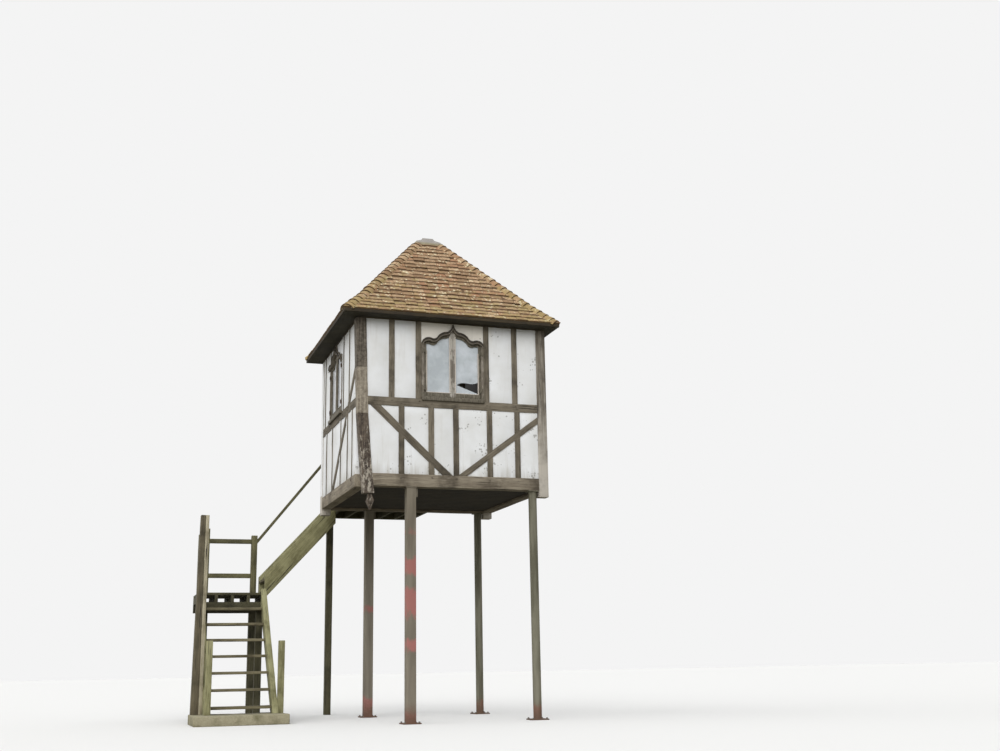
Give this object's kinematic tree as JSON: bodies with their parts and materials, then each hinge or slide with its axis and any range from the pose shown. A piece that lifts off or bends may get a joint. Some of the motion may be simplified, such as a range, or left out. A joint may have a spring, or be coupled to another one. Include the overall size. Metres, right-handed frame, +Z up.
{
  "type": "timber-framed tree house",
  "caption": "Timber-framed cabin with rendered panels, ogee windows and a tiled pyramid roof, raised on steel posts and reached by an open-tread stair with a landing.",
  "frame": {"origin": "on the ground, under the middle of the whole house with its stair", "axes": "+Z up, -Y out of the front wall with the large ogee window, +X to the right seen from the front"},
  "size_m": [4.725, 4.315, 7.0226],
  "materials": {
    "weathered_oak": "weathered, matt",
    "dark_softwood": "dark, matt",
    "stair_timber": "green-grey, matt",
    "lime_render": "limewashed, matt",
    "window_joinery": "worn paint, matt",
    "window_glass": "clear",
    "clay_tiles": "plain clay, mossy",
    "sheet_lead": "dull grey lead",
    "dark_eaves_board": "dark stained, matt",
    "square_post_paint": "grey over red primer, chalky",
    "round_post_paint": "grey-green, chalky",
    "concrete": "rough"
  },
  "bodies": {
    "root": {"square_steel_posts": "square_post_paint", "round_steel_posts": "round_post_paint", "sill_beams": "weathered_oak", "floor_joists": "dark_softwood", "floor_boards": "dark_softwood", "carved_corner_post": "weathered_oak", "plain_corner_posts": "weathered_oak", "mid_rails": "weathered_oak", "wall_plate": "weathered_oak", "front_wall_studs": "weathered_oak", "left_wall_studs": "weathered_oak", "right_wall_studs": "weathered_oak", "back_wall_studs": "weathered_oak", "wall_braces": "weathered_oak", "front_wall_panels": "lime_render", "left_wall_panels": "lime_render", "right_wall_panels": "lime_render", "back_wall_panels": "lime_render", "front_window_frame": "window_joinery", "left_window_frame": "window_joinery", "right_window_frame": "window_joinery", "front_casements": "window_joinery", "left_casements": "window_joinery", "right_casements": "window_joinery", "window_glass": "window_glass", "door_frame": "weathered_oak", "plank_door": "weathered_oak", "rafters": "dark_softwood", "front_roof_slope": "clay_tiles", "left_roof_slope": "clay_tiles", "right_roof_slope": "clay_tiles", "back_roof_slope": "clay_tiles", "hip_tiles": "clay_tiles", "lead_cap": "sheet_lead", "eaves_boards": "dark_eaves_board", "stair_foot_slab": "concrete", "tall_stair_post": "stair_timber", "short_stair_posts": "stair_timber", "stair_strings": "stair_timber", "lower_stair_treads": "stair_timber", "upper_stair_treads": "stair_timber", "landing_posts": "stair_timber", "landing_joists": "stair_timber", "landing_decks": "stair_timber", "newel_posts": "stair_timber", "guard_rails": "stair_timber"}
  },
  "joints": []
}
